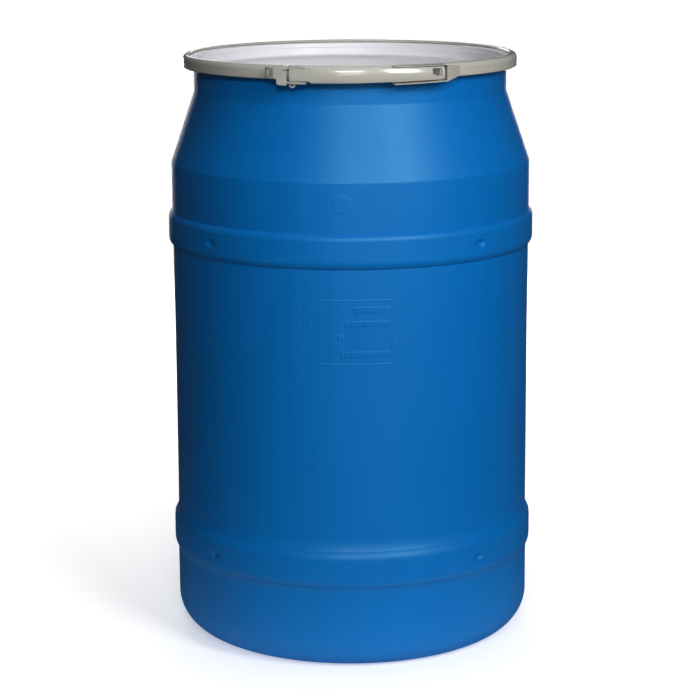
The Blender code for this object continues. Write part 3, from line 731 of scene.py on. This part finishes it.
def gasket_strip(finish):
    """Flat foam ring in the lid's groove, with its ends butted at the back."""
    low, high = GASKET_LOW.z, GASKET_HIGH.z
    radii = (0.2480, 0.2590)
    corners = [(radii[0], low, 0.0006), (radii[1], low, 0.0006), (radii[1], high, 0.0006), (radii[0], high, 0.0006)]
    section = rounded(corners)
    stops = spread(-179.95, 179.95, 2.0)
    return lofted("gasket_strip", stops, lambda azimuth: section, finish)


# Ring

def ring_channel(finish):
    """Split channel band: flat lower lip, upright web, and a rolled top edge."""
    centre = (BAND_RADIUS - ROLL_RADIUS, ROLL_Z)
    low = BAND_LOW.z
    lip = 0.2515
    inner_radius = BAND_RADIUS - BAND_SHEET
    outer = rounded([(lip, low, 0), (BAND_RADIUS, low, 0.0022), (BAND_RADIUS, ROLL_Z - 0.001, 0)], False, 5)
    outer += arc(centre, ROLL_RADIUS, 0, 140, 20)
    inner = arc(centre, ROLL_RADIUS - BAND_SHEET, 140, 0, 20)
    inner += rounded([(inner_radius, ROLL_Z - 0.001, 0), (inner_radius, low + BAND_SHEET, 0.0009),
                      (lip, low + BAND_SHEET, 0)], False, 3)
    section = outer + inner
    band = lofted("ring_channel", spread(SPLIT[1], SPLIT[0] + 360, 1.5), lambda azimuth: section, finish)
    holes = []
    for azimuths in RIVETS.values():
        for azimuth in azimuths:
            at = polar(azimuth, BAND_RADIUS, RIVET_Z)
            holes.append(drill("rivet_hole", at, polar(azimuth, 1.0), RIVET_RADIUS + GAP, 0.006, finish))
    return soften(combine(band, holes, "DIFFERENCE"), 0.00025)


def rivet(name, azimuth, finish):
    """Rivet with a flat head inside the band and a low domed head outside."""
    inside = BAND_RADIUS - BAND_SHEET - 2 * GAP
    outside = PLATE_RADII[1] + GAP
    head = RIVET_HEAD
    flat = inside - 0.0009
    profile = [(0.00001, flat)]
    profile += rounded([(head - 0.001, flat, 0), (head, flat, 0.0003), (head, inside, 0)], False)
    profile += [(RIVET_RADIUS, inside), (RIVET_RADIUS, outside), (head, outside), (head, outside + 0.0002)]
    profile += [(head * math.cos(a), outside + 0.0002 + 0.0011 * math.sin(a)) for a in
                (math.radians(15 * i) for i in range(1, 6))]
    profile.append((0.00001, outside + 0.0013))
    return turned(name, profile, (0, 0, RIVET_Z), polar(azimuth, 1.0), finish)


def rivet_drills(label, finish):
    """Cutters for a plate's rivets."""
    cutters = []
    for azimuth in RIVETS[label]:
        at = polar(azimuth, BAND_RADIUS, RIVET_Z)
        cutters.append(drill("hole", at, polar(azimuth, 1.0), RIVET_RADIUS + GAP, 0.008, finish))
    return cutters


def anchor_plate(finish):
    """Plate on the band's left end with the upright lug that the claw hooks over."""
    stops = spread(*ANCHOR_PLATE, 0.5)
    plate = lofted("anchor_plate", stops, box_section(PLATE_RADII, (0.9170, 0.9300)), finish)
    foot = polar(-26.25, BAND_RADIUS + 0.0010).xy
    lean = polar(-17.0, 0.0128).xy
    side = polar(73.0, 0.0010).xy
    outline = [foot - side, foot + lean - side, foot + lean + side, foot + side]
    combine(plate, [plan_plate("lug", outline, 0.9214, 0.9306, finish)], "UNION")
    return soften(combine(plate, rivet_drills("anchor", finish), "DIFFERENCE"))


def fulcrum_cradle(finish):
    """Upright plate on the band's right end with two ears that carry the pivot."""
    stops = spread(*FULCRUM_PLATE, 0.5)
    heights = (LATCH_Z - EAR_OUTER, LATCH_Z + EAR_OUTER)
    plate = lofted("fulcrum_cradle", stops, box_section(PLATE_RADII, heights), finish)
    inner = PLATE_RADII[0] + 0.0005
    outer = LEVER_RADIUS - 0.0010
    ear = [(-19.2, inner), (-19.7, 0.2720), (-19.7, 0.2770), (-19.15, 0.2805), (-19.0, outer)]
    ear += [(-17.5, outer + 0.0001), (-16.0, outer), (-14.5, outer - 0.0001), (-13.4, outer - 0.002)]
    ear += [(-13.4, 0.2790), (-15.6, 0.2745), (-15.7, inner)]
    ears = []
    for side in (-1, 1):
        low, high = sorted((LATCH_Z + side * EAR_INNER, LATCH_Z + side * EAR_OUTER))
        ears.append(polar_plate("ear", ear, low, high, finish, 0.0010))
    combine(plate, ears, "UNION")
    bore = drill("bore", FULCRUM, (0, 0, 1), PIN_RADIUS + GAP, 0.05, finish)
    return soften(combine(plate, [bore, *rivet_drills("fulcrum", finish)], "DIFFERENCE"), 0.00025)


def pivot_pin(finish):
    """Pivot rivet with a low domed head on the upper ear and a flat eye under the lower one."""
    low = LATCH_Z - EAR_OUTER - GAP
    high = LATCH_Z + EAR_OUTER + GAP
    head = 0.0046
    profile = [(0.00001, low - 0.0012), (head, low - 0.0012), (head, low), (PIN_RADIUS, low), (PIN_RADIUS, high)]
    profile += [(head, high), (head, high + 0.0003)]
    profile += [(head * math.cos(a), high + 0.0003 + 0.0009 * math.sin(a)) for a in
                (math.radians(15 * i) for i in range(1, 6))]
    profile.append((0.00001, high + 0.0012))
    axis = FULCRUM.xy.to_3d()
    pin = turned("pivot_pin", profile, axis, (0, 0, 1), finish)
    outward = axis.normalized()
    middle = low - 0.0012
    corners = arc((0, middle), EYE_RADIUS, -180, 0, 16)
    corners = [(x, z) for x, z in corners] + [(EYE_RADIUS, low - 0.0001), (-EYE_RADIUS, low - 0.0001)]
    azimuth = math.degrees(math.atan2(outward.x, -outward.y))
    radii = (axis.length - EYE_HALF, axis.length + EYE_HALF)
    combine(pin, [facing_plate("eye", corners, azimuth, radii, finish)], "UNION")
    at = axis + Vector((0, 0, middle - 0.0019))
    return soften(combine(pin, [drill("bore", at, outward, EYE_BORE, 0.01, finish)], "DIFFERENCE"), 0.0002)


def guard_face(azimuth):
    """Outer radius of the guard: constant along the lever, then falling to the band."""
    return ramp(azimuth, GUARD_FOLD, GUARD[1], GUARD_RADIUS, PLATE_RADII[1] + 0.0006)


def guard_heights(azimuth):
    """The guard's lower and upper edge, which close in on its tail."""
    low = ramp(azimuth, GUARD[0], GUARD_FOLD, 0.9093, 0.9112) + ramp(azimuth, GUARD_FOLD, GUARD[1], 0.0, 0.0062)
    return low, ramp(azimuth, GUARD_FOLD, GUARD[1], 0.9365, 0.9320)


def guard_section(azimuth):
    """The guard's channel, open outward, with its web on the band."""
    back, front = PLATE_RADII
    face = guard_face(azimuth)
    low, high = guard_heights(azimuth)
    thin = high - 0.0011
    fillet = min(0.0012, (face - front) * 0.3)
    corners = [(back, low, fillet), (face, low, 0), (face, low + SHEET, 0), (front, low + SHEET, fillet * 0.5),
               (front, thin, fillet * 0.5), (face, thin, 0), (face, high, 0), (back, high, fillet)]
    return rounded(corners, True, 3)


def guard_tail(azimuth):
    """The sloping sheet that closes the channel beyond the lever's tip."""
    face = guard_face(azimuth) - 0.0002
    low, high = guard_heights(azimuth)
    return box_section((face - 0.0013, face), (low + 0.0004, high - 0.0004))(azimuth)


def guard_channel(finish):
    """Channel on the band that the lever's tip folds into, with a sloping tail and a seal eye."""
    stops = spread(GUARD[0], GUARD_FOLD, 0.8) + spread(GUARD_FOLD, GUARD[1], 0.8)[1:]
    guard = lofted("guard_channel", stops, guard_section, finish)
    foot = BAND_RADIUS + 0.0010
    middle = sum(SEAL_EYE) / 2
    eye = [(SEAL_EYE[0], foot), (SEAL_EYE[0], SEAL_EYE_TIP), (SEAL_EYE[1], SEAL_EYE_TIP), (SEAL_EYE[1], foot)]
    tail = lofted("tail", spread(GUARD_FOLD + 0.1, GUARD[1] - 0.15, 0.8), guard_tail, finish)
    combine(guard, [tail, polar_plate("eye", eye, 0.9222, 0.9298, finish)], "UNION")
    at = polar(middle, SEAL_EYE_TIP - 2 * SEAL_HOLE_RADIUS, 0.9260)
    seal_hole = drill("seal_hole", at, polar(middle + 90, 1.0), SEAL_HOLE_RADIUS, 0.006, finish)
    return soften(combine(guard, [seal_hole, *rivet_drills("guard", finish)], "DIFFERENCE"), 0.00025)


# Lever and claw link

def offset_points(centre, radius, start_deg, end_deg, steps):
    """Plan points on an arc round a point, 0 degrees to the right along the band and 90 outward."""
    outward = centre.xy.normalized()
    right = Vector((-outward.y, outward.x))
    return [centre.xy + right * a + outward * b for a, b in arc((0, 0), radius, start_deg, end_deg, steps)]


def lever_heights(azimuth):
    """Lower and upper edge of the lever: narrow at the root, full height, then tapering to the tip."""
    low = ramp(azimuth, *LEVER_STEP, LATCH_Z - ROOT_HALF, LEVER_HEIGHTS[0])
    low += ramp(azimuth, 0.0, LEVER_TIP, 0.0, 0.0026)
    high = ramp(azimuth, *LEVER_STEP, LATCH_Z + ROOT_HALF, LEVER_HEIGHTS[1])
    high -= ramp(azimuth, 5.0, LEVER_TIP, 0.0, 0.0022)
    return low, min(high, GUARDED_TOP_Z) if azimuth > 12.5 else high


def crowned(low, high, radius, crown, fillet, steps):
    """Outer line of a channel: lower flange, rounded corner, crowned face, rounded corner, upper flange."""
    middle, half = (low + high) / 2, (high - low) / 2
    corners = [(FLANGE_RADIUS, low, 0), (radius - crown, low, fillet)]
    for share in (-0.75, -0.5, -0.25, 0.0, 0.25, 0.5, 0.75):
        corners.append((radius - crown * share ** 2, middle + half * share, 0.02))
    corners += [(radius - crown, high, fillet), (FLANGE_RADIUS, high, 0)]
    return rounded(corners, False, steps)


def lever_section(azimuth):
    """The lever's sheet-metal channel at an azimuth."""
    low, high = lever_heights(azimuth)
    crown = ramp(azimuth, -13.0, -9.0, 0.0008, LEVER_CROWN)
    outer = crowned(low, high, LEVER_RADIUS, crown, 0.0022, 4)
    inner = crowned(low + SHEET, high - SHEET, LEVER_RADIUS - SHEET, crown, 0.0012, 4)
    return outer + inner[::-1]


def lever_pressing(finish):
    """Curved channel lever with two rounded ears at the root and a window near the tip."""
    stops = spread(LEVER_ROOT, LEVER_STEP[0], 0.8) + spread(*LEVER_STEP, 0.2)[1:]
    stops += spread(LEVER_STEP[1], LEVER_TIP, 0.8)[1:]
    body = lofted("lever_pressing", stops, lever_section, finish)
    outline = offset_points(FULCRUM, 0.0050, 80, 270, 20) + offset_points(TOGGLE, 0.0042, 270, 360, 10)
    outline += [polar(-13.0, 0.2785).xy, polar(-15.5, 0.2785).xy]
    ears = []
    for side in (-1, 1):
        inside = LATCH_Z + side * (ROOT_HALF - SHEET + 0.0001)
        outside = LATCH_Z + side * (ROOT_HALF - 0.0001)
        ears.append(plan_plate("ear", outline, *sorted((inside, outside)), finish))
    combine(body, ears, "UNION")
    window = lofted("window", spread(*WINDOW, 0.8), box_section((0.276, 0.290), WINDOW_HEIGHTS), finish)
    holes = [drill("bore", FULCRUM, (0, 0, 1), PIN_RADIUS + GAP, 0.05, finish),
             drill("bore", TOGGLE, (0, 0, 1), TOGGLE_RADIUS + GAP, 0.05, finish), window]
    return soften(combine(body, holes, "DIFFERENCE"), 0.00028)


def link_pin(finish):
    """Pin through the lever's root and the claw link's arms, with its ends lightly domed."""
    end = ARM_OUTER
    profile = [(0.00001, -end), (TOGGLE_RADIUS * 0.7, -end + 0.0001), (TOGGLE_RADIUS, -end + 0.0005)]
    profile += [(radius, -distance) for radius, distance in profile[::-1]]
    return turned("link_pin", profile, TOGGLE, (0, 0, 1), finish)


def claw_plate(finish):
    """Folded link: tongue plate, windowed claw on its left, and two arms round the link pin."""
    outer = LEVER_RADIUS - 0.0005
    inner = outer - SHEET
    top = LATCH_Z + ARM_OUTER
    face = box_section((inner, outer), (TONGUE_BOTTOM_Z, TONGUE_TOP_Z))
    plate = lofted("claw_plate", spread(*TONGUE, 0.5), face, finish)
    claw = [(-23.3, outer), (-25.3, 0.2800), (-27.3, 0.2752), (-27.4, 0.2737), (-25.3, 0.2785), (-23.3, inner)]
    tools = [polar_plate("claw", claw, 0.9180, top - 0.0001, finish, 0.0004)]
    arm = [polar(azimuth, outer - 0.0008).xy for azimuth in (-22.6, -21.0, -19.5, -17.5)] + [polar(-15.5, 0.2812).xy]
    arm += offset_points(TOGGLE, 0.0045, 75, -180, 24)
    back = [(-15.6, 0.2765), (-17.0, 0.2778), (-19.2, 0.2778), (-20.5, 0.2760), (-22.6, 0.2760)]
    arm += [polar(*point).xy for point in back]
    for side in (-1, 1):
        heights = sorted((LATCH_Z + side * ARM_INNER, LATCH_Z + side * (ARM_OUTER - 0.00005)))
        tools.append(plan_plate("arm", arm, *heights, finish))
    combine(plate, tools, "UNION")
    holes = [drill("bore", TOGGLE, (0, 0, 1), TOGGLE_RADIUS + GAP, 0.05, finish),
             lofted("claw_window", spread(*CLAW_WINDOW, 0.5), box_section((0.270, 0.290), WINDOW_HEIGHTS), finish),
             lofted("notch", spread(*NOTCH, 0.5), box_section((0.279, 0.290), NOTCH_HEIGHTS), finish),
             tab_cutter(finish)]
    return soften(combine(plate, holes, "DIFFERENCE"), 0.00025)


def tab_cutter(finish):
    """Cutter that steps the tongue's lower half in from the left and rounds its lower corner."""
    left = (TAB[1] - TAB[0]) * math.radians(1) * LEVER_RADIUS
    floor = TONGUE_BOTTOM_Z
    corner = [(x + left + 0.0040, floor + 0.0040 + z) for x, z in arc((0, 0), 0.0040, 180, 270, 10)]
    outline = [(-0.004, TAB_TOP_Z), (left - 0.0010, TAB_TOP_Z), (left, TAB_TOP_Z - 0.0010), *corner]
    outline += [(left + 0.0040, floor - 0.003), (-0.004, floor - 0.003)]
    return facing_plate("tab_side", outline, TAB[0], (0.278, 0.290), finish)


# Camera, lights and stage

def area_light(name, at, aim, size, power, spread=120):
    """A rectangular soft light at a point, aimed at another, with its beam's spread in degrees."""
    data = bpy.data.lights.new(name, "AREA")
    data.shape = "RECTANGLE"
    data.size, data.size_y = size
    data.energy = power
    data.spread = math.radians(spread)
    light = bpy.data.objects.new(name, data)
    light.location = at
    light.rotation_euler = (Vector(aim) - light.location).to_track_quat("-Z", "Y").to_euler()
    bpy.context.scene.collection.objects.link(light)


def add_camera():
    """The camera, in front of the latch and a little above the lid."""
    data = bpy.data.cameras.new("camera")
    data.lens = LENS
    data.sensor_width = 36.0
    data.shift_x = CAMERA_SHIFT
    data.clip_end = 50.0
    camera = bpy.data.objects.new("camera", data)
    tilt = Matrix.Rotation(math.radians(90 - CAMERA_PITCH), 4, "X")
    tilt = tilt @ Matrix.Rotation(math.radians(-CAMERA_ROLL), 4, "Z")
    camera.matrix_world = Matrix.Translation(CAMERA_AT) @ tilt
    bpy.context.scene.collection.objects.link(camera)
    bpy.context.scene.camera = camera


def pale_stage():
    """A wide pale floor that rises far out and glows by its own emission, weaker near the drum and full far out, so
    that it reads evenly white: this glow is painted light. Only its near part lights the drum, by bounce and by its
    glow.
    """
    made, tree, shader = shader_of("pale_stage", (0.90, 0.90, 0.90), 0.8)
    shader.inputs["Specular IOR Level"].default_value = 0.2
    # Painted light: the floor emits white light, 0.45 within 0.3 m of the axis rising to 1.0 beyond 1.6 m
    shader.inputs["Emission Color"].default_value = (1.0, 1.0, 1.0, 1.0)
    tree.links.new(remap(tree, from_axis(tree), 0.3, 1.6, 0.45, 1.0), shader.inputs["Emission Strength"])
    near = [(0.001, 0.0), (NEAR_FLOOR, 0.0)]
    far = [(NEAR_FLOOR, 0.0), (8.0, 0.0), *arc((14.0, 6.0), 6.0, -90, 0, 16), (20.0, 16.0)]
    for name, line in (("near_floor", near), ("far_floor", far)):
        edit = bmesh.new()
        rings = [[edit.verts.new(polar(3.75 * i, *point)) for i in range(96)] for point in line]
        for inner, outer in zip(rings, rings[1:]):
            for i in range(96):
                edit.faces.new((inner[i - 1], inner[i], outer[i], outer[i - 1]))
        floor = add_object(name, edit, made)
        floor.visible_diffuse = name == "near_floor"
        floor.visible_glossy = False
        floor.visible_shadow = name == "near_floor"


def add_lights():
    """A raised key at the front right, two front strips, an overhead, and two soft lights behind."""
    area_light("key", polar(33.5, 3.0, 1.95), (0, 0, 0.6), (1.15, 1.3), 28, 120)
    area_light("front_high", polar(0, 3.0, 1.9), (0, 0, 0.6), (0.75, 0.16), 13, 120)
    area_light("front_low", polar(0, 3.0, 1.15), (0, 0, 0.6), (0.75, 0.10), 3, 120)
    area_light("overhead", (0, 0.1, 3.6), (0, 0, 0), (1.8, 1.4), 4, 80)
    area_light("back_high", polar(187, 3.4, 1.9), (0, 0, 0.7), (1.2, 0.9), 3, 120)
    area_light("back_low", polar(182, 3.4, 0.55), (0, 0, 0.45), (2.6, 0.8), 21, 120)
    world = bpy.data.worlds.new("studio")
    world.use_nodes = True
    world.node_tree.nodes["Background"].inputs["Color"].default_value = (1.0, 1.0, 1.0, 1.0)
    world.node_tree.nodes["Background"].inputs["Strength"].default_value = 0.04
    bpy.context.scene.world = world


def build_drum():
    """Every piece, on its body, in place of its CAD node."""
    blue, white, foam, paint, plate = blue_plastic(), white_plastic(), rubber(), ring_paint(), zinc()
    place(drum_shell(blue), "drum", "blue_plastic", "drum_body")
    place(lid_moulding(white), "lid", "white_plastic", "lid")
    place(gasket_strip(foam), "lid", "grey_rubber", "lid_gasket")
    place(ring_channel(paint), "ring", "ring_paint", "lock_ring_band")
    place(anchor_plate(paint), "ring", "ring_paint", "anchor_bracket")
    place(fulcrum_cradle(paint), "ring", "ring_paint", "fulcrum_bracket")
    place(pivot_pin(paint), "ring", "ring_paint", "fulcrum_pin")
    place(guard_channel(paint), "ring", "ring_paint", "lever_guard")
    place(lever_pressing(paint), "lever", "ring_paint", "lever")
    place(link_pin(plate), "lever", "zinc_steel", "toggle_pin")
    place(claw_plate(paint), "claw", "ring_paint", "claw_link")
    for label, azimuths in RIVETS.items():
        for number, azimuth in enumerate(azimuths, 1):
            piece = rivet(f"{label}_stud_{number}", azimuth, plate)
            place(piece, "ring", "zinc_steel", f"{label}_rivet_{number}")


build_drum()
add_camera()
pale_stage()
add_lights()
bpy.context.scene.view_settings.view_transform = "Standard"
